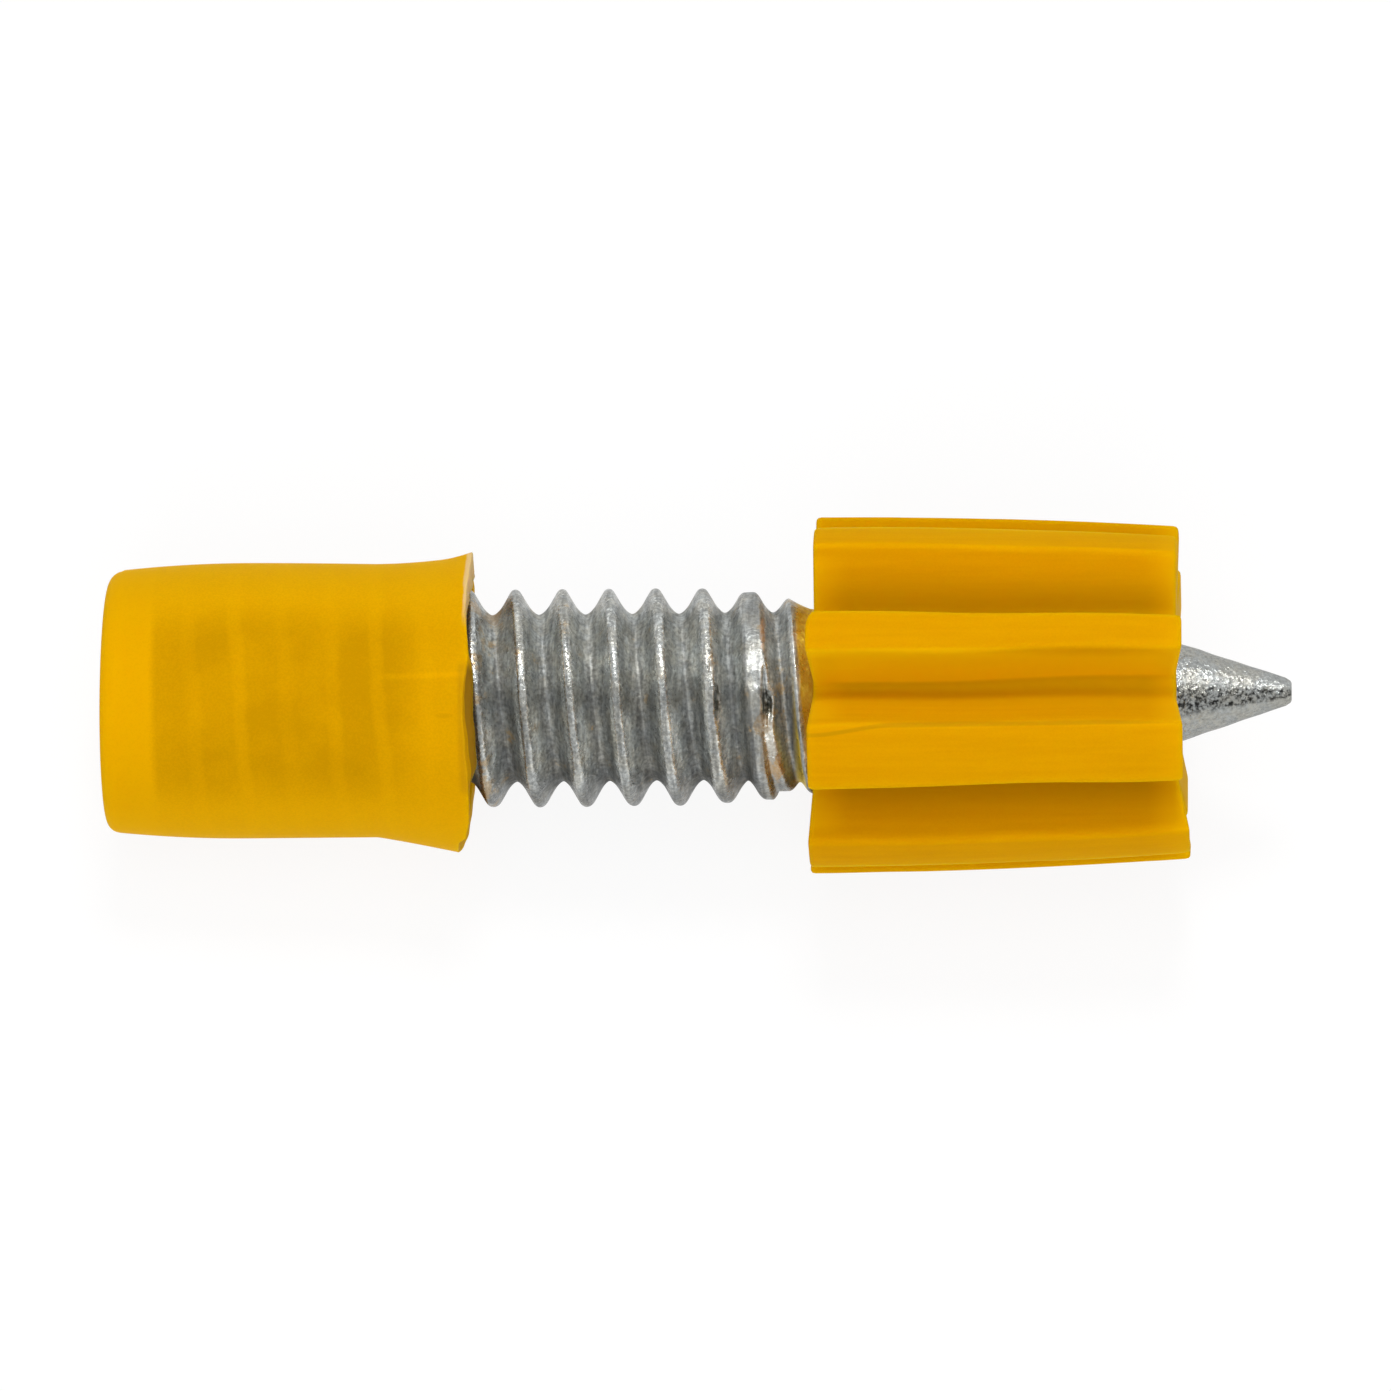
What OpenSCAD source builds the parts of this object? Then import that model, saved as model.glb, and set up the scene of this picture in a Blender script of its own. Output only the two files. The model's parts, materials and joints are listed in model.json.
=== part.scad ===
/* [Thread] */
// Diameter over the thread crests
thread_major_d = 6.0; // [5.8:0.05:6.3]
// Distance from one crest to the next, 20 turns to the inch
thread_pitch = 1.27; // [1.2:0.01:1.4]
// Height of the thread from root to crest
thread_depth = 0.75; // [0.5:0.05:0.8]
// Width of the flat on top of a full crest
crest_flat = 0.18; // [0.1:0.01:0.24]
// Length of the threaded part, up to the shoulder
thread_length = 17.7; // [15:0.1:24]
// Length over which the thread runs out before the shoulder
runout_length = 2.6; // [1.5:0.1:4]
// Height of the incomplete crests at the shoulder
runout_height = 0.2; // [0.05:0.05:0.4]
// Length of the chamfer that leads a nut onto the thread
lead_in_length = 0.9; // [0.5:0.1:1.5]
// How far the chamfer goes in below the roots at the end of the thread
lead_in_depth = 0.2; // [0.05:0.05:0.5]

/* [Shank and point] */
// Diameter of the plain shank that is driven into the base material
shank_d = 3.7; // [3.3:0.1:4]
// Length from the shoulder to the end of the point
shank_length = 12.9; // [11.5:0.1:20]
// Length of the conical point
point_length = 4.66; // [3:0.02:6]
// Diameter of the blunt end of the point
point_end_d = 0.6; // [0.4:0.02:1]
// Radius that rounds the edge of the blunt end
point_end_round = 0.12; // [0.06:0.02:0.16]

/* [Thread cap] */
// Clearance between the cap's bore and the thread crests
cap_clearance = 0.05; // [0.03:0.01:0.1]
// Wall of the cap's tube where it is thickest
cap_wall = 0.7; // [0.6:0.02:1]
// How far the outside comes in again before the flared mouth
cap_waist = 0.04; // [0.02:0.01:0.1]
// How far the wall thins out towards the closed end
cap_taper = 0.19; // [0.05:0.01:0.25]
// Thickness of the closed end
cap_end_wall = 1.35; // [0.8:0.05:2]
// Gap between the closed end and the end of the thread
cap_end_gap = 0.05; // [0.03:0.01:0.2]
// Length of thread that the cap covers
cap_grip = 8.25; // [7:0.05:11]
// Radius of the corner round the closed end
cap_corner_r = 0.34; // [0.2:0.02:0.6]
// Length of the flared mouth
flare_length = 2.55; // [1.5:0.05:3]
// How far the outside of the mouth flares out
flare_rise = 0.39; // [0.2:0.01:0.6]
// Wall at the edge of the mouth
mouth_wall = 0.62; // [0.5:0.02:0.7]

/* [Guide sleeve] */
// Number of ribs round the sleeve
rib_count = 9; // [7:2:9]
// Thickness of one rib
rib_w = 1.5; // [1.2:0.05:1.8]
// Diameter over the ribs at the end next to the thread
guide_d = 9.7; // [9.4:0.02:10.4]
// How far the ribs come down towards the end next to the point
guide_taper = 0.33; // [0.1:0.01:0.5]
// Length of the sleeve
guide_length = 10; // [8:0.1:10.5]
// Clearance between the sleeve's bore and the shank
guide_clearance = 0.02; // [0.01:0.01:0.05]
// Wall between the bore and the bottom of the grooves
guide_wall = 0.99; // [0.9:0.01:1.2]

/* [Hidden] */
$fn = 64;
steps_per_turn = 30;
thread_angle = 60;
thread_phase = 0.003;
margin = 0.5;
long_arc_fn = 720;

core_d = thread_major_d - 2 * thread_depth;
crest_half = crest_flat / 2;
flank_half = crest_half + thread_depth * tan(thread_angle / 2);
lead_in_d = core_d - 2 * lead_in_depth;
runout_d = core_d + 2 * runout_height;
thread_turns = ceil(thread_length / thread_pitch + 1.2);

cap_bore_d = thread_major_d + 2 * cap_clearance;
cap_d = cap_bore_d + 2 * cap_wall;
cap_neck_d = cap_d - 2 * cap_waist;
flare_d = cap_neck_d + 2 * flare_rise;
cap_inner_z = -thread_length - cap_end_gap;
cap_outer_z = cap_inner_z - cap_end_wall;
cap_mouth_z = -thread_length + cap_grip;
flare_z = cap_mouth_z - flare_length;
cap_widest_z = (cap_outer_z + flare_z) / 2;

guide_bore_d = shank_d + 2 * guide_clearance;
guide_root_d = guide_bore_d + 2 * guide_wall;
rib_half_angle = 180 / rib_count;
groove_apex = rib_w / 2 / sin(rib_half_angle);
groove_r = (guide_root_d / 2 - groove_apex) / (1 / sin(rib_half_angle) - 1);

// Radius of an arc that starts straight and has risen by this much after this run
function arc_radius(run, rise) = (run * run + rise * rise) / (2 * rise);

cap_arc_r = arc_radius(cap_widest_z - cap_outer_z, cap_taper);
cap_arc_x = cap_d / 2 - cap_arc_r;
corner_z = cap_outer_z + cap_corner_r;
corner_x = cap_arc_x + sqrt(pow(cap_arc_r - cap_corner_r, 2) - pow(cap_widest_z - corner_z, 2));
corner_k = cap_corner_r / (cap_arc_r - cap_corner_r);
corner_end = [corner_x + (corner_x - cap_arc_x) * corner_k, corner_z + (corner_z - cap_widest_z) * corner_k];

// The stud lies on its two lowest ribs and on the side of the cap.
rib_tip = sqrt(pow(guide_d / 2, 2) - pow(rib_w / 2, 2));
rib_low = rib_tip * cos(rib_half_angle) + rib_w / 2 * sin(rib_half_angle);
cap_tilt = acos(cap_arc_r / norm([rib_low - cap_arc_x, cap_widest_z]))
    - atan2(-cap_widest_z, rib_low - cap_arc_x);
mouth_tilt = atan2(rib_low - flare_d / 2, -cap_mouth_z);
rest_tilt = min(cap_tilt, mouth_tilt);

// Lays a shape whose length runs along Z on its side, as it comes to rest, with the +Z end raised
module at_rest() rotate([0, -rest_tilt, 0]) rotate([90, 0, 90]) children();

// Half section between two heights, with a radius that curves from one value to the other
module bell_section(from_r, to_r, from_z, to_z) {
    bell_arc_r = arc_radius(to_z - from_z, to_r - from_r);
    difference() {
        translate([0, from_z]) square([to_r, to_z - from_z]);
        translate([from_r + bell_arc_r, from_z]) circle(bell_arc_r, $fn = long_arc_fn);
    }
}

// One pitch of the thread, root to root, as [distance along the axis, radius]
thread_section = [
    [-thread_pitch / 2, core_d / 2],
    [-flank_half, core_d / 2],
    [-crest_half, thread_major_d / 2],
    [crest_half, thread_major_d / 2],
    [flank_half, core_d / 2],
];

// Point on a helix of one turn per pitch, at a number of steps from the start
function on_helix(step, along, radius) = [
    radius * cos(360 * step / steps_per_turn),
    radius * sin(360 * step / steps_per_turn),
    along + thread_pitch * (step / steps_per_turn - thread_turns + thread_phase),
];

function ring(z) = [
    for (i = [0:steps_per_turn - 1])
        [core_d / 2 * cos(360 * i / steps_per_turn), core_d / 2 * sin(360 * i / steps_per_turn), z]
];

// Right-hand thread along Z, longer than needed at both ends
module thread_bar() {
    n = steps_per_turn;
    m = len(thread_section);
    steps = thread_turns * n;
    past_strip = (steps + 1) * m;
    low = past_strip + n;
    high = low + n;
    function at(i, j) = j == m ? (i + n <= steps ? (i + n) * m : past_strip + i + n - steps - 1) : i * m + j;

    strip = [for (i = [0:steps], p = thread_section) on_helix(i, p[0] + thread_pitch / 2, p[1])];
    strip_edge = [for (i = [steps + 1:steps + n]) on_helix(i, 0, core_d / 2)];
    low_z = -thread_pitch * thread_turns - margin;
    high_z = thread_pitch * 1.1 + margin;

    strip_faces = [
        for (i = [0:steps - 1], j = [0:m - 1], k = [0, 1])
            k == 0 ? [at(i, j), at(i, j + 1), at(i + 1, j + 1)] : [at(i, j), at(i + 1, j + 1), at(i + 1, j)]
    ];
    low_faces = [
        for (i = [0:n - 2]) [low + i, at(i, 0), at(i + 1, 0), low + i + 1]
    ];
    high_faces = [
        for (i = [1:n - 1]) [at(steps + i - n, m), high + i, high + (i + 1) % n, at(steps + i + 1 - n, m)]
    ];
    closing_faces = [
        [low + n - 1, at(n - 1, 0), at(n, 0), at(0, m - 1), at(0, 1), at(0, 0), low],
        [for (j = [1:m - 1]) at(0, m - j)],
        [high + 1, at(steps + 1 - n, m), at(steps, 0), at(steps, 1), at(steps, m - 1), at(steps, m), high],
        [for (j = [1:m - 1]) at(steps, j)],
        [for (i = [0:n - 1]) low + i],
        [for (i = [0:n - 1]) high + n - 1 - i],
    ];
    polyhedron(
        points = concat(strip, strip_edge, ring(low_z), ring(high_z)),
        faces = concat(strip_faces, low_faces, high_faces, closing_faces),
        convexity = 10
    );
}

// Envelope of the thread, with the lead-in chamfer and the run-out
module thread_envelope() {
    start_r = lead_in_d / 2;
    full_r = thread_major_d / 2;
    lead_slope = (full_r - start_r) / lead_in_length;
    runout_slope = (full_r - runout_d / 2) / runout_length;
    rotate_extrude() polygon([
        [0, -thread_length],
        [start_r, -thread_length],
        [full_r + margin, lead_in_length - thread_length + margin / lead_slope],
        [full_r + margin, -runout_length - margin / runout_slope],
        [runout_d / 2, 0],
        [0, 0],
    ]);
}

// Shank with its point, rounded at the blunt end
module shank() {
    cone_z = shank_length - point_length;
    lean = atan2(shank_d / 2 - point_end_d / 2, point_length);
    round_x = point_end_d / 2 - point_end_round * tan(45 - lean / 2);
    round_z = shank_length - point_end_round;
    touch_x = round_x + point_end_round * cos(lean);
    touch_z = round_z + point_end_round * sin(lean);
    rotate_extrude() {
        polygon([
            [0, -margin],
            [shank_d / 2, -margin],
            [shank_d / 2, cone_z],
            [touch_x, touch_z],
            [round_x, round_z],
            [round_x, shank_length],
            [0, shank_length],
        ]);
        intersection() {
            translate([round_x, round_z]) circle(point_end_round);
            translate([0, round_z]) square([point_end_d, margin]);
        }
    }
}

module threaded_stud() color([0.62, 0.62, 0.6]) at_rest() {
    intersection() {
        thread_bar();
        thread_envelope();
    }
    shank();
}

module cap_outside() {
    polygon([
        [0, cap_outer_z],
        [corner_x, cap_outer_z],
        [corner_x, corner_z],
        corner_end,
        [corner_end[0], cap_widest_z],
        [0, cap_widest_z],
    ]);
    translate([corner_x, corner_z]) circle(cap_corner_r);
    intersection() {
        translate([cap_arc_x, cap_widest_z]) circle(cap_arc_r, $fn = long_arc_fn);
        translate([0, corner_end[1]]) square([cap_d, cap_widest_z - corner_end[1]]);
    }
    polygon([
        [0, cap_widest_z - margin],
        [cap_neck_d / 2, cap_widest_z - margin],
        [cap_d / 2, cap_widest_z],
        [cap_neck_d / 2, flare_z],
        [cap_bore_d / 2, flare_z + margin],
        [0, flare_z + margin],
    ]);
    bell_section(cap_neck_d / 2, flare_d / 2, flare_z, cap_mouth_z);
}

module thread_cap() color([0.86, 0.6, 0.04]) at_rest() rotate_extrude() difference() {
    cap_outside();
    translate([0, cap_inner_z]) square([cap_bore_d / 2, flare_z + margin - cap_inner_z]);
    bell_section(cap_bore_d / 2, flare_d / 2 - mouth_wall, flare_z, cap_mouth_z);
}

// Cross section of one groove, with a round bottom and sides that follow the ribs
module groove_section() {
    centre = groove_apex + groove_r / sin(rib_half_angle);
    side_x = centre - groove_r * sin(rib_half_angle);
    side_y = groove_r * cos(rib_half_angle);
    reach = guide_d;
    far_x = side_x + reach * cos(rib_half_angle);
    far_y = side_y + reach * sin(rib_half_angle);
    translate([centre, 0]) circle(groove_r);
    polygon([[side_x, -side_y], [far_x, -far_y], [far_x, far_y], [side_x, side_y]]);
}

module guide_sleeve() color([0.84, 0.56, 0.03]) at_rest() difference() {
    crown_r = arc_radius(guide_length, guide_taper);
    rotate_extrude() intersection() {
        translate([guide_bore_d / 2, 0]) square([guide_d, guide_length]);
        translate([guide_d / 2 - crown_r, 0]) circle(crown_r, $fn = 2 * long_arc_fn);
    }
    for (i = [0:rib_count - 1])
        rotate([0, 0, 2 * i * rib_half_angle - 90])
            translate([0, 0, -margin]) linear_extrude(guide_length + 2 * margin) groove_section();
}

threaded_stud();
thread_cap();
guide_sleeve();
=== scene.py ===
import json
import math

import bpy
import numpy as np
from mathutils import Matrix, Vector


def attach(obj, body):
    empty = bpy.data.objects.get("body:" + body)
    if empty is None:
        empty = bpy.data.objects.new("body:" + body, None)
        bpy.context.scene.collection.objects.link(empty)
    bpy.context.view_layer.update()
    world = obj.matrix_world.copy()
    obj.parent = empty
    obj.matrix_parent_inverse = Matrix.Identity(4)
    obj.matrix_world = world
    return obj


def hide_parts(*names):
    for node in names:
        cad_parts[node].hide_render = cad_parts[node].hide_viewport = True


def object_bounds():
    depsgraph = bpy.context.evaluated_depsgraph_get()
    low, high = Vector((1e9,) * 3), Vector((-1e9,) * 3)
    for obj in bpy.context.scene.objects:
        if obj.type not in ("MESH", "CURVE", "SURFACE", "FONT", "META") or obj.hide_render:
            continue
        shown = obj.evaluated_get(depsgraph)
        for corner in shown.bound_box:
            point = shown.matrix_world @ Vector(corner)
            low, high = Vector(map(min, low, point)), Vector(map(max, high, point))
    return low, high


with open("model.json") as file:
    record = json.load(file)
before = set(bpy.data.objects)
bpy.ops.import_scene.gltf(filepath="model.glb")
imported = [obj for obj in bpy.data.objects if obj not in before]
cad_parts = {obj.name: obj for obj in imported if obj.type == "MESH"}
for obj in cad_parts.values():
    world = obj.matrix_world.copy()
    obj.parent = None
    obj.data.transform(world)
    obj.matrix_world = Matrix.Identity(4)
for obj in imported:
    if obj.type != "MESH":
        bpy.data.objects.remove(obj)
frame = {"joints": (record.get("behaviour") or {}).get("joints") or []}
cad_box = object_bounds()

MM = 0.001
RNG = np.random.default_rng(7)

# The stud's own axis, read from the joint that pulls the cap off backwards
pull = Vector(frame["joints"][0]["axis"])
AXIS = -pull.normalized()
TILT = math.atan2(AXIS.z, AXIS.x)
LAY = Matrix.Rotation(-TILT, 4, "Y")

# Angles round the axis run from +Y towards +Z, in degrees. The camera looks from CAMERA_SIDE, and
# IMAGE_TOP is the side at the top of its picture.
CAMERA_SIDE = 110.0
IMAGE_TOP = 20.0

# Lengths of the pieces are in millimetres. A place is along the axis, from the shoulder towards the point.
THREAD_START = -17.7
THREAD_SHOWN_FROM = -9.8
PITCH = 1.27
ROOT_R = 2.25
CREST_R = 3.0
CREST_HALF = 0.07
FLANK_SLOPE = math.tan(math.radians(30))
CREST_AT = -3.10
CREST_ROUNDING = 0.12
EDGE_ROUNDING = 0.16
ROOT_ROUNDING = 0.34
LEAD_IN_R = 2.05
LEAD_IN_LENGTH = 0.9
SHANK_R = 1.85
CONE_START = 8.24
TIP_X = 12.9
TIP_R = 0.3
TIP_ROUNDING = 0.13

CAP_END = -19.1
CAP_BULGE = 0.20
CAP_FLOOR = -17.75
CAP_BORE_R = 3.05
CAP_WIDEST = -15.55
CAP_R = 3.75
CAP_TAPER = 0.19
CAP_CORNER = 0.38
FLARE_START = -12.0
FLARE = 0.35
MOUTH_X = -9.45
MOUTH_R = 4.1
MOUTH_INNER_R = 3.48
MOUTH_ROUNDING = 0.06
INNER_EDGE_BACK = 0.05

GUIDE_R = 4.85
GUIDE_TAPER = 0.33
GUIDE_BORE_R = 1.87
GUIDE_ROOT_R = 2.86
GUIDE_ROOT_END = 9.80
GUIDE_SEAM = -50.0  # in the groove between the last rib and the first
RIB_REACH = 40
RIB_DRAFT = 0.09
RIB_TOP_ROUNDING = 0.20
RIB_FOOT_ROUNDING = 0.28
RIB_END_ROUNDING = 0.12
POINTS_PER_RIB = 56


# Shapes

def smooth_min(a, b, reach):
    """The lesser of two numbers, rounded off where they differ by less than the reach"""
    share = np.maximum(reach - np.abs(a - b), 0) / reach
    return np.minimum(a, b) - share * share * reach / 4


def smooth_max(a, b, reach):
    return -smooth_min(-a, -b, reach)


def smooth_step(value, low, high):
    share = np.clip((value - low) / (high - low), 0, 1)
    return share * share * (3 - 2 * share)


def curve(x, points):
    """Straight lines through points, each a place and a value"""
    return np.interp(x, *zip(*points))


def wrapped(angle):
    """Angle in degrees between -180 and 180"""
    return (np.asarray(angle) + 180) % 360 - 180


def hump(angle, at, reach, power=2):
    """1 at an angle, and about a third at its reach to both sides. A high power makes its top flat."""
    return np.exp(-(wrapped(angle - at) / reach) ** power)


def sine_and_cosine(degrees):
    return math.sin(math.radians(degrees)), math.cos(math.radians(degrees))


def ripple(x, angle, count, height, per_mm, per_turn):
    """Sum of seeded waves, with up to per_mm waves along the axis and up to per_turn waves round it"""
    total = np.zeros(np.broadcast(x, angle).shape)
    for _ in range(count):
        along = RNG.uniform(-per_mm, per_mm) * 2 * math.pi
        around = RNG.integers(-per_turn, per_turn + 1)
        total += np.sin(along * x + np.radians(around * angle) + RNG.uniform(0, 2 * math.pi))
    return total * height / math.sqrt(count)


def tube(name, rings, loop=False):
    """Piece made of rings of points, each given by its places, radii and angles. The first and last ring
    close on the axis, or join each other in a loop."""
    x, r, angle = np.stack([np.broadcast_arrays(*ring) for ring in rings], axis=1)
    points = np.stack([x, r * np.cos(np.radians(angle)), r * np.sin(np.radians(angle))], -1)
    points = points.reshape(-1, 3)
    grid = np.arange(x.size).reshape(x.shape)
    if loop:
        grid = np.vstack([grid, grid[:1]])
    beside = np.roll(grid, -1, axis=1)
    faces = np.stack([grid[:-1], beside[:-1], beside[1:], grid[1:]], -1).reshape(-1, 4).tolist()
    if not loop:
        first, last = x.size, x.size + 1
        faces += [[first, int(b), int(a)] for a, b in zip(grid[0], beside[0])]
        faces += [[last, int(a), int(b)] for a, b in zip(grid[-1], beside[-1])]
        points = np.vstack([points, [x[0].mean(), 0, 0], [x[-1].mean(), 0, 0]])
    mesh = bpy.data.meshes.new(name)
    mesh.from_pydata((points * MM).tolist(), [], faces)
    mesh.transform(LAY)
    mesh.shade_smooth()
    mesh.validate()
    piece = bpy.data.objects.new(name, mesh)
    bpy.context.scene.collection.objects.link(piece)
    return piece


# Shader nodes

def add(tree, kind, inputs=None, **attributes):
    """Adds a shader node. An input is a constant, or the Value or socket that is linked to it."""
    made = tree.nodes.new(kind)
    for key, value in attributes.items():
        setattr(made, key, value)
    for key, value in (inputs or {}).items():
        if isinstance(value, Value):
            value = value.socket
        if isinstance(value, bpy.types.NodeSocket):
            tree.links.new(value, made.inputs[key])
        else:
            made.inputs[key].default_value = value
    return made


def tree_of(*values):
    """Node tree of the first one that isn't a constant"""
    return next(value.tree for value in values if isinstance(value, Value))


def maths(operation, a, b=0.0):
    made = add(tree_of(a, b), "ShaderNodeMath", {0: a, 1: b}, operation=operation)
    return Value(made.outputs[0])


class Value:
    """What a shader node gives out, for use in sums like any number"""

    def __init__(self, socket):
        self.socket = socket
        self.tree = socket.id_data

    def __add__(self, other):
        return maths("ADD", self, other)

    def __sub__(self, other):
        return maths("SUBTRACT", self, other)

    def __rsub__(self, other):
        return maths("SUBTRACT", other, self)

    def __mul__(self, other):
        return maths("MULTIPLY", self, other)

    def __truediv__(self, other):
        return maths("DIVIDE", self, other)

    def __abs__(self):
        return maths("ABSOLUTE", self)

    def between(self, low, high, to_low=0.0, to_high=1.0):
        """Maps a range smoothly to another one, and stops at its ends"""
        ends = {"Value": self, "From Min": low, "From Max": high, "To Min": to_low, "To Max": to_high}
        made = add(self.tree, "ShaderNodeMapRange", ends, interpolation_type="SMOOTHSTEP")
        return Value(made.outputs["Result"])

    def eased(self, at_zero, at_one):
        """Maps a share between 0 and 1 smoothly to another range"""
        return self.between(0.0, 1.0, at_zero, at_one)

    def spread(self, to_low, to_high):
        """Maps a noise smoothly to another range. Nearly all of a noise is between 0.3 and 0.7."""
        return self.between(0.3, 0.7, to_low, to_high)

    def window(self, start, full, fade, end):
        """1 from full to fade, and 0 before start and after end"""
        return self.between(start, full) * self.between(end, fade)


class Surface:
    """Where a point of a surface is, in the stud's own frame: along the axis, at what angle round it and
    how far away from it"""

    def __init__(self, tree):
        self.tree = tree
        place = add(tree, "ShaderNodeTexCoord").outputs["Object"]
        self.place = add(tree, "ShaderNodeMapping", {"Vector": place, "Rotation": (0, TILT, 0)}).outputs[0]
        split = add(tree, "ShaderNodeSeparateXYZ", {0: self.place})
        x, y, z = (Value(socket) for socket in split.outputs)
        self.along = x / MM
        self.angle = maths("DEGREES", maths("ARCTAN2", z, y))
        self.away = maths("SQRT", y * y + z * z) / MM

    def noise(self, per_mm, detail=3.0, roughness=0.55, stretch=(1, 1, 1)):
        scaled = add(self.tree, "ShaderNodeMapping", {"Vector": self.place, "Scale": stretch})
        made = add(self.tree, "ShaderNodeTexNoise", {
            "Vector": scaled.outputs[0], "Scale": per_mm / MM, "Detail": detail, "Roughness": roughness,
        })
        return Value(made.outputs["Fac"])

    def turns_past_crest(self):
        """Turns of the thread from a crest: a whole number at each crest"""
        return self.along / PITCH - self.angle / 360 - (CREST_AT / PITCH - IMAGE_TOP / 360)

    def facing(self, toward, outer, inner):
        """1 within an inner angle of a direction round the axis, and 0 beyond an outer angle"""
        turned = maths("COSINE", maths("RADIANS", self.angle - toward))
        return turned.between(math.cos(math.radians(outer)), math.cos(math.radians(inner)))

    def within(self, middle, outer, inner):
        """1 within inner degrees of an angle, and 0 beyond outer degrees. The angle may be a Value."""
        return abs(self.angle - middle).between(outer, inner)

    def patch(self, ragged, at, size):
        """1 inside a ragged oval patch at a place and an angle, and 0 outside"""
        across = (self.along - at[0]) / size[0]
        around = (self.angle - at[1]) / size[1]
        far = across * across + around * around + (ragged - 0.5) * 5.0
        return far.between(1.3, 0.6)


def blend_colours(share, a, b, blend="MIX"):
    """Goes from a to b as the share goes from 0 to 1"""
    inputs = {0: share, 6: a, 7: b}
    made = add(tree_of(share, a, b), "ShaderNodeMix", inputs, data_type="RGBA", blend_type=blend)
    return Value(made.outputs[2])


def new_material(name):
    made = bpy.data.materials.new(name)
    made.use_nodes = True
    made.node_tree.nodes.clear()
    return made


def finish_material(made, height, strength, metres, inputs):
    """Adds the surface shader with its inputs. Its bumps rise by so many metres for a height of 1."""
    tree = made.node_tree
    bumps = add(tree, "ShaderNodeBump", {"Height": height, "Strength": strength, "Distance": metres})
    shader = add(tree, "ShaderNodeBsdfPrincipled", {**inputs, "Normal": bumps.outputs[0]})
    add(tree, "ShaderNodeOutputMaterial", {"Surface": shader.outputs[0]})


# Zinc

COOL_TINT = (0.96, 1.0, 0.98, 1)
WARM_TINT = (1.005, 1.0, 0.91, 1)
# Painted reflection of the yellow sleeve in the zinc
PAINTED_SLEEVE_REFLECTION = (0.76, 0.55, 0.04, 1)
# Rust, and the painted reflection of the yellow plastic near the cap and the sleeve
RUST_AND_PLASTIC_REFLECTION = (0.50, 0.32, 0.12, 1)

# Painted shading in bands along the thread: the phases of a window, where they face and to what outer and
# inner angle, and how much darker they are, or brighter where it is negative
PAINTED_SHADING_BANDS = (
    ((0.60, 0.68, 0.94, 1.00), (106, 26, 9), 0.20),
    ((0.80, 0.90, 0.97, 1.00), (170, 78, 35), 0.24),
    ((0.51, 0.57, 0.72, 0.84), (138, 27, 12), -0.60),
)

# The same painted shade for the grooves, with distances from the crest in turns for phases
PAINTED_GROOVE_SHADE = (
    ((0.36, 0.47), (90, 32, 12), 0.27),
    ((0.44, 0.49), (170, 78, 35), 0.20),
)

# Stains and darker patches on the last turns of the thread, with a pale patch that is partly a painted
# highlight and two near-black patches of painted shade in the deepest dents: place and angle, half length and
# half angle, share, colour
STAINS_AND_PAINTED_LIGHT = (
    # Pale zinc where the highlight falls on the flattened crest, partly a painted highlight
    ((-1.66, 90), (0.30, 6), 0.2, (0.80, 0.79, 0.77, 1)),
    ((-1.62, 64), (0.30, 12), 0.45, (0.24, 0.24, 0.23, 1)),
    ((-1.64, 114), (0.26, 10), 0.55, (0.20, 0.20, 0.18, 1)),
    ((-1.37, 70), (0.07, 13), 0.6, (0.60, 0.36, 0.20, 1)),
    # Near-black painted shade in the two deepest dents
    ((-1.26, 114), (0.15, 9), 1.0, (0.03, 0.03, 0.02, 1)),
    ((-2.60, 113), (0.09, 10), 0.9, (0.05, 0.045, 0.03, 1)),
    ((-1.38, 127), (0.24, 6), 0.8, (0.26, 0.17, 0.07, 1)),
    ((-1.22, 148), (0.26, 16), 0.8, (0.33, 0.29, 0.23, 1)),
    ((-1.25, 156), (0.10, 7), 0.6, (0.50, 0.34, 0.16, 1)),
    ((-1.00, 160), (0.16, 14), 0.7, (0.48, 0.27, 0.06, 1)),
    ((-8.75, 35), (0.22, 16), 0.5, (0.50, 0.33, 0.14, 1)),
)


class ZincCoat(Surface):
    """Surface of the stud, with what the functions of its material share. The phase goes from 0 in one
    groove to 1 in the next, and is 0.5 on the crest."""

    def __init__(self, tree):
        super().__init__(tree)
        self.phase = maths("FRACT", self.turns_past_crest() + 0.5)
        self.blotch = self.noise(1.1, detail=4)
        self.grain = self.noise(10.0, detail=3, roughness=0.6)
        self.lines = self.noise(9.0, detail=2, stretch=(1, 0.1, 0.1))
        self.fleck = self.noise(4.5, detail=4, roughness=0.6)
        self.tint = self.noise(1.6, detail=4, roughness=0.7)
        self.shiny = self.fleck.between(0.46, 0.58) * self.grain.between(0.48, 0.60)
        self.flattened = self.along.window(-2.0, -1.85, -1.45, -1.3)
        self.on_cone = self.along.between(7.0, 8.0)
        self.on_thread = 1.0 - self.on_cone


def painted_shading_bands(coat):
    """How much painted shade darkens the flanks and grooves by the side they face, or painted light brightens
    them where it is negative
    """
    shading = coat.phase.window(0.04, 0.14, 0.31, 0.36) * coat.facing(140, 48, 20).eased(0.12, 0.38)
    for phases, side, share in PAINTED_SHADING_BANDS:
        shading = shading + coat.phase.window(*phases) * coat.facing(*side) * share
    from_crest = abs(coat.phase - 0.5)
    for turns, side, share in PAINTED_GROOVE_SHADE:
        shading = shading + from_crest.between(*turns) * coat.facing(*side) * share
    return shading


def wear_and_painted_glints(coat):
    """Bright flecks worn on the crests, fewer round 142 degrees as painted shade, and painted glints on the
    flanks that face the lights
    """
    on_crest = coat.away.between(2.82, 2.97) * coat.facing(142, 44, 30).eased(1.0, 0.3)
    on_crest = on_crest * coat.blotch.between(0.40, 0.60, 0.3, 1.0)
    lit = coat.facing(129, 18, 8) + coat.facing(85, 22, 10) * 0.6
    glint = coat.phase.window(0.54, 0.58, 0.64, 0.70) * lit
    return (on_crest + glint) * coat.shiny


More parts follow.
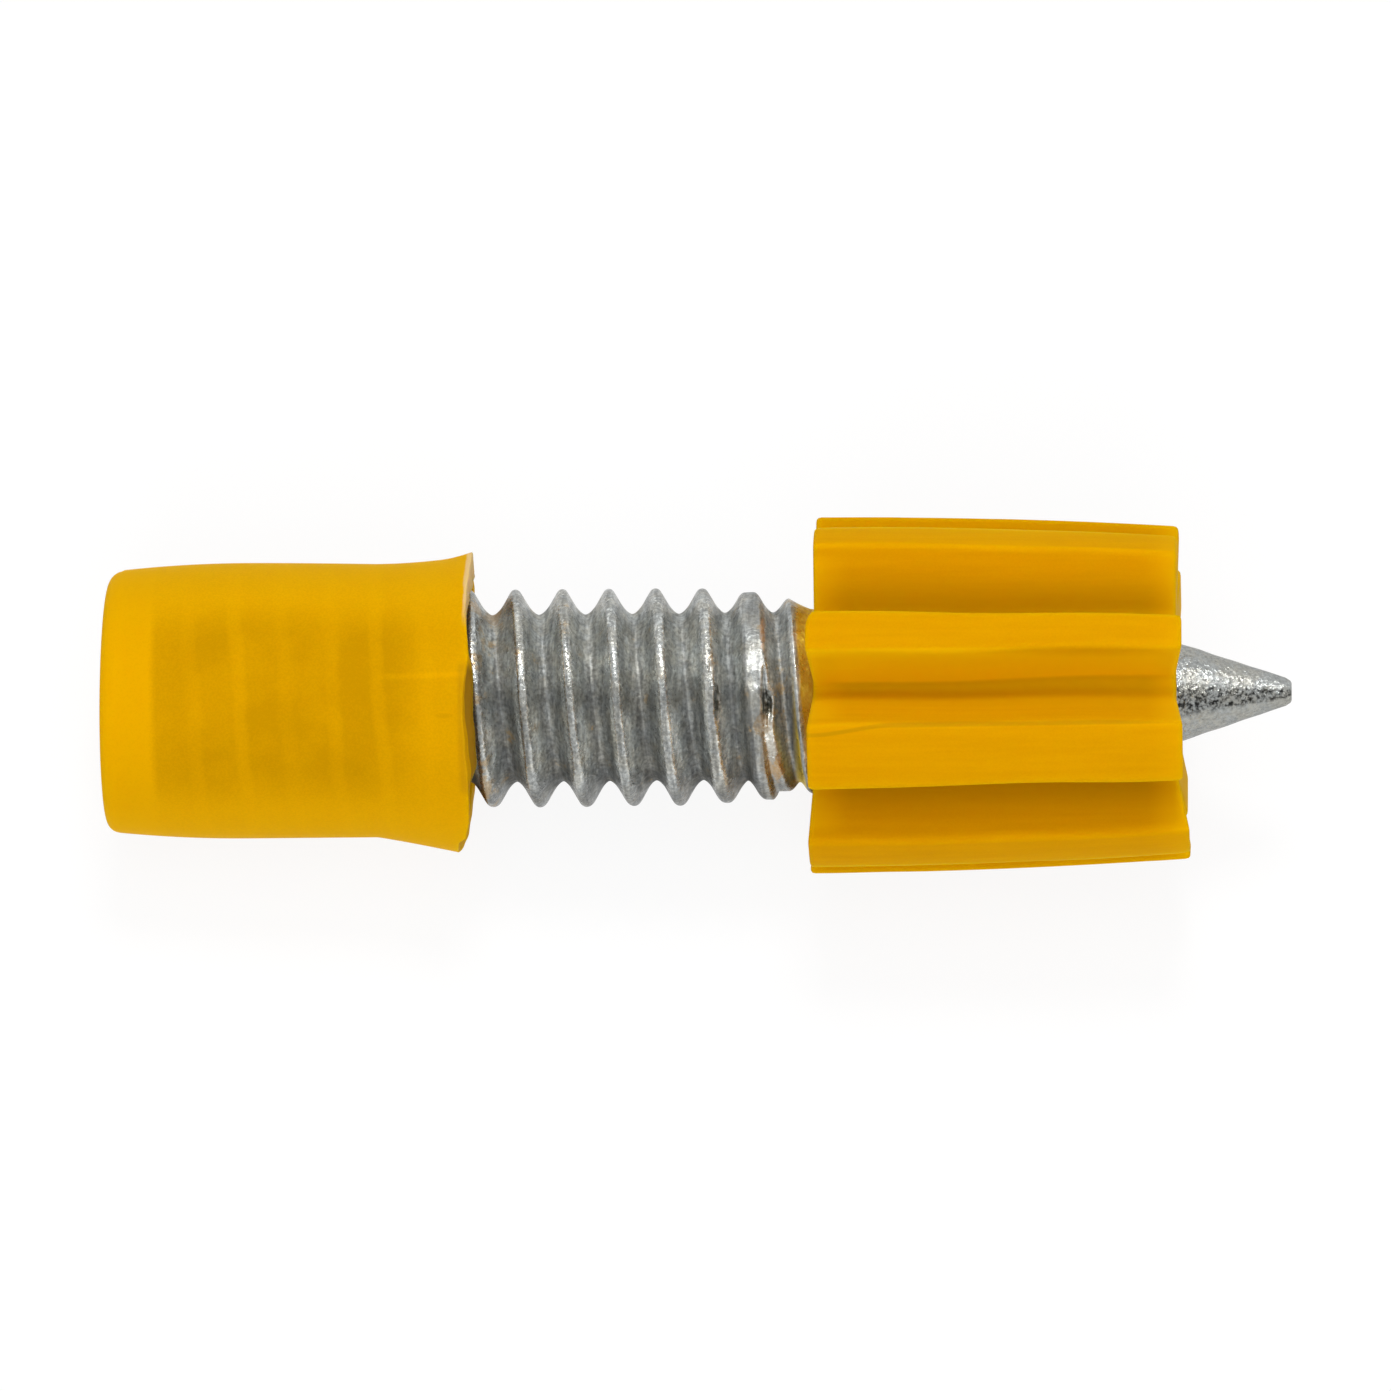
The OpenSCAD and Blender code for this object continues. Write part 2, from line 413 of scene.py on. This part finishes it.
def thread_tone(coat):
    """Brightness of the thread, and of the little that is seen of the shank, with painted shade and painted
    highlights
    """
    tone = coat.blotch.spread(0.395, 0.51) * coat.grain.spread(0.72, 1.28) * coat.lines.spread(0.74, 1.26)
    # Painted shade in the roots, lighter round 68 degrees as a painted highlight streak
    root = coat.away.between(2.52, 2.26) * (0.27 - coat.facing(68, 42, 20) * 0.08)
    tone = tone * (1.0 - root) * (1.0 - painted_shading_bands(coat))
    # Painted highlight along one edge of each crest, round 132 degrees
    edge = coat.phase.window(0.34, 0.38, 0.43, 0.47) * coat.facing(132, 32, 16)
    tone = tone + edge * coat.grain.between(0.35, 0.60, 0.06, 0.15)
    # Painted shade on the crests round 127 degrees
    crest = coat.facing(127, 34, 18).eased(0.82, 0.58)
    tone = tone * coat.away.between(2.75, 2.95, 1.0, crest)
    # Worn flecks on the crests, with painted shade on them and painted glints
    tone = tone + wear_and_painted_glints(coat) * 0.30
    tone = tone * (1.0 - coat.flattened * 0.26)
    # Painted shade on the underside, round 205 degrees
    underside = coat.facing(205, 45, 18)
    return tone * underside.eased(1.0, 0.56)


def cone_tone(coat):
    """Brightness of the cone, with a painted dark reflection along one side"""
    painted_dark_reflection = coat.within(119, 25, 12) * coat.grain.between(0.35, 0.60, 1.2, 0.3)
    return (1.0 - painted_dark_reflection * 0.78) * 0.365 * coat.grain.spread(0.82, 1.18)


def zinc_colour(coat):
    tint = blend_colours(coat.tint.between(0.40, 0.60), COOL_TINT, WARM_TINT)
    tone = thread_tone(coat) * coat.on_thread + cone_tone(coat) * coat.on_cone
    colour = blend_colours(1.0, tint, tone, blend="MULTIPLY")
    # Painted reflection of the yellow sleeve on the last crest beside it
    sleeve_reflection = coat.along.between(-0.62, -0.40) * coat.on_thread * coat.away.between(2.64, 2.58)
    colour = blend_colours(sleeve_reflection * 0.92, colour, PAINTED_SLEEVE_REFLECTION)
    # Rust where the tint noise is high, with more of its colour near the cap and the sleeve as a painted
    # reflection of the yellow plastic
    near_cap = coat.along.window(-11.0, -9.8, -9.2, -7.9) * 0.12
    near_sleeve = coat.along.between(-1.9, -0.5) * 0.07
    rust_and_reflection = (coat.tint + maths("MAXIMUM", near_sleeve, near_cap)).between(0.62, 0.72, 0, 0.45)
    colour = blend_colours(rust_and_reflection * coat.on_thread, colour, RUST_AND_PLASTIC_REFLECTION)
    textured = coat.fleck.between(0.35, 0.60, 0.5, 1.0)
    # Stains and darker patches, with a painted highlight and painted shade in the dents
    for at, size, share, patch_colour in STAINS_AND_PAINTED_LIGHT:
        colour = blend_colours(coat.patch(coat.fleck, at, size) * textured * share, colour, patch_colour)
    return colour


def zinc_roughness(coat):
    """Smoother on the cone and the crests, rougher on the flattened crests and in the roots"""
    rough = coat.fleck.between(0.35, 0.65, 0.46, 0.26) - coat.on_cone * 0.12
    rough = rough * coat.away.between(2.70, 2.90, 1.0, 0.68) + coat.flattened * 0.09
    return rough + coat.away.between(2.55, 2.30) * coat.on_thread * 0.22


def zinc_height(coat):
    """Height of the grain, and of the dimples in the cone, in millimetres"""
    dimples = coat.noise(8.0, detail=2, roughness=0.5) * 0.05 + coat.noise(1.8, detail=1) * 0.06
    return coat.grain * 0.012 + coat.fleck * 0.035 + dimples * coat.on_cone


def zinc():
    made = new_material("zinc_coat")
    coat = ZincCoat(made.node_tree)
    finish_material(made, zinc_height(coat), strength=1.0, metres=MM, inputs={
        "Base Color": zinc_colour(coat),
        "Roughness": zinc_roughness(coat),
        "Metallic": coat.on_cone * 0.15 + 0.85,
        "Specular IOR Level": 0.3,
        "Specular Tint": (0.75, 0.75, 0.75, 1),
    })
    return made


# Yellow plastic

CAP_AMBER = (0.72, 0.362, 0.0005, 1)
# Painted shade where the thread is behind the cap's wall
CAP_PAINTED_SHADE = (0.52, 0.258, 0.0004, 1)
PALE_EDGE = (0.72, 0.47, 0.20, 1)
# Painted shade on the mouth's inner lip
PAINTED_SHADE_AT_MOUTH = (0.30, 0.15, 0.008, 1)
GUIDE_AMBER = (0.67, 0.315, 0.0005, 1)
GUIDE_SHADE = (0.63, 0.288, 0.0004, 1)
GUIDE_PAINTED_GROOVE = (0.60, 0.315, 0.0005, 1)
GUIDE_PAINTED_LIGHT_FLANK = (0.79, 0.425, 0.0006, 1)
GUIDE_PAINTED_LIGHT_END = (0.72, 0.360, 0.0006, 1)
GUIDE_EDGE_LINE = (0.30, 0.16, 0.004, 1)
GUIDE_PAINTED_SHADE_LOW = (0.93, 0.92, 1, 1)

# Through the cap every third crest shows more clearly in the painted shade, and this is one of them
CLEAR_CREST_AT = -15.76


def amber(name, colour_of, height_of, depth):
    """Yellow plastic that light enters to a depth in millimetres. Its highlights are tinted, as the
    plastic keeps its colour even where it shines."""
    made = new_material(name)
    surface = Surface(made.node_tree)
    finish_material(made, height_of(surface), strength=0.4, metres=0.02 * MM, inputs={
        "Base Color": colour_of(surface),
        "Roughness": 0.5,
        "Specular IOR Level": 0.006,
        "Specular Tint": (1, 0.45, 0.0, 1),
        "Subsurface Weight": 0.4,
        "Subsurface Radius": (0.7, 1.0, 0.05),
        "Subsurface Scale": depth * MM,
    })
    return made


def thread_behind(surface, wobble):
    """Painted shade where the thread is behind the cap's wall, with a paler line along each crest"""
    crest = surface.turns_past_crest() + (wobble - 0.5) * 0.3
    every_third = maths("COSINE", (surface.along - CLEAR_CREST_AT) * (2 * math.pi / (3 * PITCH)))
    stripe = maths("COSINE", crest * (2 * math.pi)).between(0.25, 1.0)
    stripe = stripe * every_third.between(-0.8, 1.0, 0.45, 1.0)
    # The painted shade is strongest towards the camera's side and the side opposite, and fades square to them
    side = maths("RADIANS", (surface.angle - (CAMERA_SIDE + 2)) * 2.0)
    camera_side_share = maths("COSINE", side).between(-0.25, 0.70, 0.18, 1.0)
    cover = surface.along.between(-18.0, -17.7) * surface.along.between(-17.6, -16.2, 0.75, 1.0)
    cover = cover * surface.along.between(-10.2, -11.6, 0.45, 1.0) * camera_side_share
    cover = cover * wobble.between(0.35, 0.62, 0.7, 1.0)
    return cover * (1.0 - stripe * 0.34)


def cap_colour(surface):
    """Painted shade where the thread is behind it, with a pale crease, a darker wrinkle, a pale torn mark on
    the mouth's edge, and painted shade on the mouth's inner lip
    """
    speckle = surface.noise(18.0, detail=1)
    shade = thread_behind(surface, surface.noise(0.5))
    crease = surface.within(100.5, 2.0, 0.2) * surface.along.between(-11.9, -11.4)
    wrinkle = surface.patch(speckle, (-9.92, 116.5), (0.22, 0.9))
    shade = shade - crease * 0.30 + speckle.spread(-0.12, 0.12) + wrinkle * 0.35
    colour = blend_colours(shade, CAP_AMBER, CAP_PAINTED_SHADE)
    ragged = (surface.noise(2.5) - 0.5) * 0.12
    torn = surface.within(46, 36, 20) * (surface.along + ragged).between(-9.48, -9.42)
    colour = blend_colours(torn, colour, PALE_EDGE)
    # Painted shade on the mouth's inner lip, and fainter on the outer wall beside it
    inner = surface.within(122, 28, 23) * surface.along.between(-9.62, -9.45)
    inner = inner * surface.away.between(3.98, 3.94, 0.3, 1.0)
    return blend_colours(inner, colour, PAINTED_SHADE_AT_MOUTH)


def cap_height(surface):
    return surface.noise(2.5, detail=3)


def guide_colour(surface):
    """Faint streaks along the ribs and a darker line along the edge of one rib, with painted shade towards
    the groove floors and on one side, and painted light on one flank and in the grooves near the ends
    """
    along, away = surface.along, surface.away
    streak = surface.noise(5.0, detail=3, stretch=(0.05, 1, 1))
    speckle = surface.noise(18.0, detail=1)
    share = streak.spread(0.15, 0.85) + speckle.spread(-0.25, 0.25)
    colour = blend_colours(share, GUIDE_AMBER, GUIDE_SHADE)
    # Painted shade, slightly darker and yellower, towards the groove floors
    colour = blend_colours(away.between(4.3, 3.0), colour, GUIDE_PAINTED_GROOVE)
    # Painted light on one flank of the rib at 88.6 degrees
    flank = surface.angle.window(94.3, 96.5, 103, 106) * away.between(2.9, 3.1)
    colour = blend_colours(flank, colour, GUIDE_PAINTED_LIGHT_FLANK)
    # Painted shade on the side round 168 degrees
    colour = blend_colours(surface.facing(168, 26, 18), colour, GUIDE_PAINTED_SHADE_LOW, blend="MULTIPLY")
    # Painted light in the grooves near both ends of the sleeve
    near_end = maths("MAXIMUM", along.between(1.1, 0.2), along.between(8.9, 9.7))
    colour = blend_colours(near_end * away.between(4.7, 4.3, 0, 0.8), colour, GUIDE_PAINTED_LIGHT_END)
    edge_at = along.between(2.2, 0.0, 119.7, 122.7)
    edge_line = surface.within(edge_at, 1.0, 0.3) * away.between(4.45, 4.6)
    return blend_colours(edge_line * 0.35, colour, GUIDE_EDGE_LINE)


def guide_height(surface):
    return surface.noise(8.0, detail=3, stretch=(0.05, 1, 1))


# Stud

# Curves by where a crest is: how much wider it is towards the cap and towards the sleeve, its radius, and
# how much of a lower shelf and of a sloping top it has
WIDER_BEFORE = ((-2.0, 0), (-1.83, 0.04), (-1.6, 0.12), (-1.3, 0.12), (-0.9, 0))
WIDER_AFTER = ((-2.0, 0), (-1.83, 0.04), (-1.6, 0.12), (-1.2, 0.20), (-0.8, 0.05))
CREST_TOP = ((-3.7, 3.0), (-3.1, 2.97), (-1.83, 2.83), (-1.2, 2.82), (-0.6, 2.66))
SHELF_SHARE = ((-1.5, 0), (-1.3, 1), (-0.9, 1), (-0.7, 0))
SLOPE_SHARE = ((-1.1, 0), (-0.6, 1))
SHELF_DEPTH = 0.23
SHELF_EDGE = 0.14
SLOPE = 0.6
SLOPE_START = -0.185
LOWEST_CREST = 2.30

# Dents in the thread: place, angle, depth, half length, half angle
DENTS = (
    (-1.26, 112, 0.26, 0.11, 7),
    (-1.20, 118, 0.18, 0.07, 9),
    (-1.33, 108, 0.14, 0.05, 12),
    (-2.60, 112, 0.12, 0.07, 10),
    (-1.55, 127, 0.10, 0.26, 4),
    (-1.45, 101, 0.07, 0.30, 2.5),
    (-2.75, 100, 0.05, 0.12, 12),
    (-5.30, 136, 0.04, 0.12, 14),
    (-6.60, 146, 0.05, 0.12, 12),
    (-3.95, 128, 0.04, 0.10, 8),
)


def crest_radius(signed, crest_x):
    """Radius at a signed distance along the axis from a crest"""
    wider = np.where(signed < 0, curve(crest_x, WIDER_BEFORE), curve(crest_x, WIDER_AFTER))
    flank = CREST_R - (np.abs(signed) - (CREST_HALF + wider)) / FLANK_SLOPE
    shelf = SHELF_DEPTH * smooth_step(signed, 0.0, SHELF_EDGE) * curve(crest_x, SHELF_SHARE)
    slope = SLOPE * np.clip(signed - SLOPE_START, 0, None) * curve(crest_x, SLOPE_SHARE)
    limit = np.maximum(curve(crest_x, CREST_TOP) - shelf - slope, LOWEST_CREST)
    return smooth_min(smooth_min(flank, CREST_R, CREST_ROUNDING), limit, EDGE_ROUNDING)


def thread_radius(x, angle):
    """Rounded thread. Its crests get lower towards the shoulder, and the last ones are flattened."""
    turn = (x - CREST_AT) / PITCH - (angle - IMAGE_TOP) % 360 / 360
    r = np.full(turn.shape, ROOT_R)
    for crest in (np.floor(turn), np.floor(turn) + 1):
        signed = (turn - crest) * PITCH
        r = smooth_max(r, crest_radius(signed, x - signed), ROOT_ROUNDING)
    lead_in = LEAD_IN_R + (x - THREAD_START) * (CREST_R - LEAD_IN_R) / LEAD_IN_LENGTH
    return smooth_min(r, lead_in, EDGE_ROUNDING)


def thread_rings(around):
    """Places and radii of the thread, coarser where the cap covers it"""
    covered = np.arange(THREAD_START, THREAD_SHOWN_FROM, 0.07)
    shown = np.arange(THREAD_SHOWN_FROM, 0, 0.03)
    x = np.concatenate([covered, shown, [0.0]])[:, None]
    r = thread_radius(x, around)
    for at, angle, depth, half, half_angle in DENTS:
        ragged = ripple(x, around, count=12, height=0.5, per_mm=3.0, per_turn=40)
        across = (x - at) / half + 0.5 * ragged
        turned = wrapped(around - angle) / half_angle + 0.4 * ragged
        r = r - depth * np.exp(-(across**2 + turned**2))
    unevenness = 0.35 + 0.65 * (r - ROOT_R) / (CREST_R - ROOT_R)
    return x, r + unevenness * ripple(x, around, count=24, height=0.012, per_mm=1.5, per_turn=14)


def shank_rings(around):
    """Places and radii of the shank, the cone and its rounded tip"""
    cone_end = TIP_X - TIP_ROUNDING
    shank_x = np.concatenate([
        [0.0], np.arange(0.5, CONE_START, 0.8), np.arange(CONE_START, cone_end, 0.06),
    ])
    cone = TIP_R + 0.03 + (TIP_X - shank_x) * (SHANK_R - TIP_R) / (TIP_X - CONE_START)
    steps = np.radians([20, 40, 60, 80, 90])
    tip = TIP_R + 0.04 - TIP_ROUNDING + TIP_ROUNDING * np.cos(steps)
    x = np.concatenate([shank_x, cone_end + TIP_ROUNDING * np.sin(steps), [TIP_X, TIP_X]])[:, None]
    r = np.concatenate([np.minimum(SHANK_R, cone), tip, [0.15, 0.07]])[:, None]
    return x, r * (1 + ripple(x, around, count=20, height=0.008, per_mm=1.2, per_turn=6))


def make_stud():
    around = np.arange(0, 360, 2.0)
    thread_x, thread_r = thread_rings(around)
    shank_x, shank_r = shank_rings(around)
    rings = [(THREAD_START, r, around) for r in (0.7, 1.4)]
    rings += [(x, r, around) for x, r in zip(thread_x, thread_r)]
    rings += [(x, r, around) for x, r in zip(shank_x, shank_r)]
    return tube("stud", rings)


# Cap. Where a function is given low, that is 1 at the bottom of the picture and -1 at its top.

# Edge of the mouth: angle round the axis, place
RIM = (
    (-180, -9.70), (-160, -9.78), (-130, -9.62), (-90, -9.46), (-40, -9.45), (0, -9.44), (30, -9.30),
    (55, -9.33), (70, -9.38), (94, -9.26), (110, -9.42), (140, -9.30), (160, -9.33), (174, -9.46),
    (180, -9.70),
)


def cap_outside(x, low):
    """Radius of the cap: an arc towards its closed end, a slight waist, and a flare at its mouth"""
    arc = ((CAP_WIDEST - CAP_END) ** 2 + CAP_TAPER**2) / (2 * CAP_TAPER)
    back = CAP_R - arc + np.sqrt(arc**2 - (x - CAP_WIDEST) ** 2)
    to_flare = np.clip((x - CAP_WIDEST) / (FLARE_START - CAP_WIDEST), 0, 1)
    waist = CAP_R - (0.03 - 0.03 * low) * to_flare**1.5
    to_mouth = np.clip((x - FLARE_START) / (MOUTH_X - FLARE_START), 0, 1.1)
    flare = (FLARE + 0.15 * low) * to_mouth ** (1.55 - 0.45 * low)
    return np.where(x < CAP_WIDEST, back, waist) + flare


def closed_end(lean, corner):
    """From the middle of the closed end, which leans and bulges, round its corner"""
    edge = CAP_R - CAP_TAPER
    rings = [(CAP_END - CAP_BULGE + (lean + CAP_BULGE) * r / edge, r) for r in (0.8, 1.6, 2.4, 2.9)]
    for degrees in range(0, 90, 10):
        sine, cosine = sine_and_cosine(degrees)
        rings.append((CAP_END + lean + corner * (1 - cosine), edge - corner * (1 - sine)))
    return rings


def outer_wall(start, rim, low, burr):
    rings = []
    for share in np.linspace(0, 1, 110):
        x = start + (rim - MOUTH_ROUNDING - start) * share
        rings.append((x, cap_outside(x, low) + burr * np.clip(share * 12 - 11, 0, 1) ** 1.5))
    return rings


def mouth_edge(rim, lip, burr, outer, inner):
    """Round the outer edge of the mouth and over its face. The lip is how far its inner edge stands out."""
    rings = []
    for degrees in (20, 45, 70, 90):
        sine, cosine = sine_and_cosine(degrees)
        x = rim - MOUTH_ROUNDING + MOUTH_ROUNDING * sine
        rings.append((x, outer - MOUTH_ROUNDING * (1 - cosine) + burr))
    for share in (0.3, 0.6, 0.9):
        inward = (outer - inner - 2 * MOUTH_ROUNDING) * share
        rings.append((rim + lip * share, outer - MOUTH_ROUNDING - inward + burr * (1 - share)))
    return rings + [(rim + lip - INNER_EDGE_BACK, inner)]


def hollow(rim, inner):
    """From the mouth down its flared inside and the bore, and over the floor to its middle"""
    rings = []
    for share in np.linspace(0.08, 1, 14):
        x = rim - INNER_EDGE_BACK + (FLARE_START - rim) * share
        rings.append((x, CAP_BORE_R + (inner - CAP_BORE_R) * (1 - share) ** 1.6))
    bore_start = FLARE_START - INNER_EDGE_BACK
    for share in np.linspace(0.1, 1, 12):
        rings.append((bore_start + (CAP_FLOOR - bore_start) * share, CAP_BORE_R))
    return rings + [(CAP_FLOOR, r) for r in (2.4, 1.6, 0.8)]


def make_cap():
    around = np.arange(0, 360, 1.5)
    low = np.cos(np.radians(around - IMAGE_TOP - 180))
    rim = curve(wrapped(around), RIM)
    rim = rim + ripple(0 * around, around, count=12, height=0.010, per_mm=1, per_turn=30)
    ragged = 0.04 + ripple(0 * around, around, count=10, height=0.03, per_mm=1, per_turn=50)
    lip = ragged * hump(around, 41, 25.0, power=6) + 0.27 * hump(around, 121, 25.0, power=6)
    burr = 0.10 * hump(around, 27, 8.0)
    outer = cap_outside(rim, low)
    inner = MOUTH_INNER_R + 0.7 * (outer - MOUTH_R)
    lean = -CAP_BULGE - 0.045 * low
    corner = CAP_CORNER - 0.05 * low
    rings = closed_end(lean, corner) + outer_wall(CAP_END + lean + corner, rim, low, burr)
    rings += mouth_edge(rim, lip, burr, outer, inner) + hollow(rim, inner)
    return tube("cap", [(x, r, around) for x, r in rings])


# Guide sleeve

# Ribs: angle, half a thickness at the left and the right end, and where those ends are
RIBS = (
    (-30, 0.75, 0.70, 0.04, 9.90),
    (10, 0.78, 0.74, 0.02, 9.88),
    (46.4, 0.57, 0.57, 0.02, 9.84),
    (88.6, 0.60, 0.48, -0.16, 10.03),
    (130.4, 0.94, 0.86, -0.13, 10.04),
    (175, 0.76, 0.74, -0.19, 10.22),
    (212.5, 0.75, 0.72, -0.24, 10.20),
    (250, 0.75, 0.72, -0.12, 10.08),
    (290, 0.75, 0.72, 0.0, 9.98),
)
RIB_ANGLES, LEFT_HALVES, RIGHT_HALVES, LEFT_ENDS, RIGHT_ENDS = np.array(RIBS).T


def rib_outline(number, at, inset, around):
    """How far each angle is off one rib, and the radius of that rib's outline there, at a share of the
    sleeve's length. Its flanks are slightly wavy."""
    top = GUIDE_R - GUIDE_TAPER * at * at - inset
    sway = 0.35 * math.sin(5.3 * at + 2.1 * number) + 0.2 * math.sin(11 * at + number)
    off = np.radians(np.abs(wrapped(around - RIB_ANGLES[number] - sway)))
    left, right = LEFT_HALVES[number], RIGHT_HALVES[number]
    swell = 0.012 * math.sin(9 * at + 1.7 * number)
    half = left + (right - left) * at - inset + swell
    sine = np.maximum(np.sin(np.minimum(off, math.pi / 2)), 1e-3)
    flank = (half + RIB_DRAFT * top) / (sine + RIB_DRAFT)
    return off, smooth_min(flank, top, RIB_TOP_ROUNDING)


def sleeve_outline(at, inset):
    """Angles and radii of the sleeve's outline at a share of its length, shrunk by inset"""
    around = np.arange(GUIDE_SEAM, GUIDE_SEAM + 360, 0.05)
    r = np.full(around.shape, GUIDE_ROOT_R - inset)
    for number in range(len(RIBS)):
        off, rib = rib_outline(number, at, inset, around)
        r = np.where(off < math.radians(RIB_REACH), smooth_max(r, rib, RIB_FOOT_ROUNDING), r)
    return around, r


def spread_evenly(around, r):
    """Angles and radii of points spread evenly along the outline of each rib"""
    angles, radii = [], []
    grooves = [GUIDE_SEAM, *(RIB_ANGLES[:-1] + RIB_ANGLES[1:]) / 2, GUIDE_SEAM + 360]
    for low, high in zip(grooves, grooves[1:]):
        inside = (around >= low - 0.01) & (around <= high + 0.01)
        rib_around, rib_r = around[inside], r[inside]
        y, z = rib_r * np.cos(np.radians(rib_around)), rib_r * np.sin(np.radians(rib_around))
        run = np.concatenate([[0], np.cumsum(np.hypot(np.diff(y), np.diff(z)))])
        steps = np.linspace(0, run[-1], POINTS_PER_RIB, endpoint=False)
        angles.append(np.interp(steps, run, rib_around))
        radii.append(np.interp(steps, run, rib_r))
    return np.concatenate(angles), np.concatenate(radii)


def sleeve_end(rib_ends, root_end, r, angle):
    """Place of an end of the sleeve, which goes from the end of its root to that of the nearest rib"""
    nearest = np.argmin([np.abs(wrapped(angle - rib)) for rib in RIB_ANGLES], axis=0)
    up = np.clip((r - GUIDE_ROOT_R) / (GUIDE_R - GUIDE_ROOT_R), 0, 1)
    return root_end + (rib_ends[nearest] - root_end) * up


def sleeve_ring(at, inset=0.0, push=0.0):
    """Ring at a share of the sleeve's length, shrunk by inset and pushed along the axis. One rib has a
    notch in its left end."""
    angle, r = spread_evenly(*sleeve_outline(at, inset))
    notch = 0.17 * smooth_step(r, 3.2, 4.2) * hump(angle, 80, 4.0)
    left = sleeve_end(LEFT_ENDS, 0.0, r, angle) + notch
    right = sleeve_end(RIGHT_ENDS, GUIDE_ROOT_END, r, angle)
    return left + (right - left) * at + push, r, angle


def make_guide():
    edge = []
    for degrees in (0, 30, 60):
        sine, cosine = sine_and_cosine(degrees)
        edge.append((RIB_END_ROUNDING * (1 - sine), RIB_END_ROUNDING * (1 - cosine)))
    rings = [sleeve_ring(0.0, inset, push) for inset, push in edge]
    rings += [sleeve_ring(at) for at in np.linspace(0.015, 0.985, 56)]
    rings += [sleeve_ring(1.0, inset, -push) for inset, push in reversed(edge)]
    left_x, left_r, left_angle = rings[0]
    _, right_r, right_angle = rings[-1]
    for share in (0.75, 0.5, 0.25, 0.0):
        r = GUIDE_BORE_R + (right_r - GUIDE_BORE_R) * share
        rings.append((sleeve_end(RIGHT_ENDS, GUIDE_ROOT_END, r, right_angle), r, right_angle))
    for share in (0.0, 0.25, 0.5, 0.75):
        rings.append((left_x * share, GUIDE_BORE_R + (left_r - GUIDE_BORE_R) * share, left_angle))
    return tube("sleeve", rings, loop=True)


stud = make_stud()
stud.data.materials.append(zinc())
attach(stud, "stud_body")
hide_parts("threaded_stud")

sleeve = make_guide()
sleeve.data.materials.append(amber("guide_amber", guide_colour, guide_height, depth=1.3))
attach(sleeve, "stud_body")
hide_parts("guide_sleeve")

cap = make_cap()
cap.data.materials.append(amber("cap_amber", cap_colour, cap_height, depth=0.8))
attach(cap, "cap")
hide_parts("thread_cap")


# Floor, light and camera, in metres

FLOOR_SIZE = 3.0
FLOOR_WHITE = (0.92, 0.92, 0.92, 1)
WHITE = (1, 1, 1, 1)


def shown_backdrop(tree):
    """1 for rays from the camera and those that shiny or clear matter sends on, and 0 for all others"""
    path = add(tree, "ShaderNodeLightPath").outputs
    shown = Value(path["Is Camera Ray"])
    for ray in ("Is Glossy Ray", "Is Transmission Ray"):
        shown = maths("MAXIMUM", shown, path[ray])
    return shown


def make_floor():
    bpy.ops.mesh.primitive_plane_add(size=FLOOR_SIZE, location=(0, 0, cad_box[0][2]))
    floor = bpy.context.object
    floor.name = "floor"
    made = new_material("floor_white")
    tree = made.node_tree
    lit = add(tree, "ShaderNodeBsdfDiffuse", {"Color": FLOOR_WHITE}).outputs[0]
    glow = add(tree, "ShaderNodeEmission", {"Color": WHITE, "Strength": 1.0}).outputs[0]
    share = shown_backdrop(tree).eased(0.15, 0.88)
    mixed = add(tree, "ShaderNodeMixShader", {0: share, 1: lit, 2: glow}).outputs[0]
    add(tree, "ShaderNodeOutputMaterial", {"Surface": mixed})
    floor.data.materials.append(made)


def make_world():
    world = bpy.data.worlds.new("studio")
    bpy.context.scene.world = world
    world.use_nodes = True
    tree = world.node_tree
    tree.nodes.clear()
    strength = shown_backdrop(tree).eased(0.42, 1.0)
    sky = add(tree, "ShaderNodeBackground", {"Color": WHITE, "Strength": strength}).outputs[0]
    add(tree, "ShaderNodeOutputWorld", {"Surface": sky})


def direction(angle, along=0.0):
    """Unit vector square to the axis at an angle round it, leaning along the axis"""
    sine, cosine = sine_and_cosine(angle)
    return (LAY.to_3x3() @ Vector((along, cosine, sine))).normalized()


def add_light(name, toward, distance, size, power, shines=True, lights=True):
    """Round light that points at the origin. It may be hidden in what shines, or light only that."""
    data = bpy.data.lights.new(name, "AREA")
    data.shape = "DISK"
    data.size = size
    data.energy = power
    light = bpy.data.objects.new(name, data)
    bpy.context.scene.collection.objects.link(light)
    light.location = toward * distance
    light.rotation_euler = toward.to_track_quat("Z", "Y").to_euler()
    light.visible_glossy = shines
    light.visible_diffuse = lights


def make_camera():
    """Looks steeply down on a point of the axis. Its distance, its view and that point are in millimetres."""
    elevation, azimuth, roll = math.radians(70), math.radians(-2.2), math.radians(-0.5)
    distance, seen_width, sensor = 430.0, 37.83, 36.0
    aim_along, aim_up = -3.304, 0.035
    level = math.cos(elevation)
    toward = Vector((math.sin(azimuth) * level, -math.cos(azimuth) * level, math.sin(elevation)))
    right = (AXIS - toward * AXIS.dot(toward)).normalized()
    right = Matrix.Rotation(roll, 3, toward) @ right
    up = toward.cross(right)
    data = bpy.data.cameras.new("camera")
    data.sensor_width = sensor
    data.lens = sensor * distance / seen_width
    data.clip_start, data.clip_end = 0.01, 10
    camera = bpy.data.objects.new("camera", data)
    bpy.context.scene.collection.objects.link(camera)
    place = Matrix((right, up, toward)).transposed().to_4x4()
    place.translation = (AXIS * aim_along + up * aim_up + toward * distance) * MM
    camera.matrix_world = place
    bpy.context.scene.camera = camera


make_floor()
make_world()
add_light("key", direction(66, along=0.05), distance=0.5, size=0.13, power=0.96)
add_light("glint", direction(72, along=0.62), distance=0.5, size=0.08, power=0.40, lights=False)
add_light("front", direction(92), distance=0.7, size=0.40, power=1.0, shines=False)
add_light("fill", direction(130), distance=0.7, size=0.45, power=1.85, shines=False)
make_camera()
bpy.context.scene.view_settings.view_transform = "Standard"
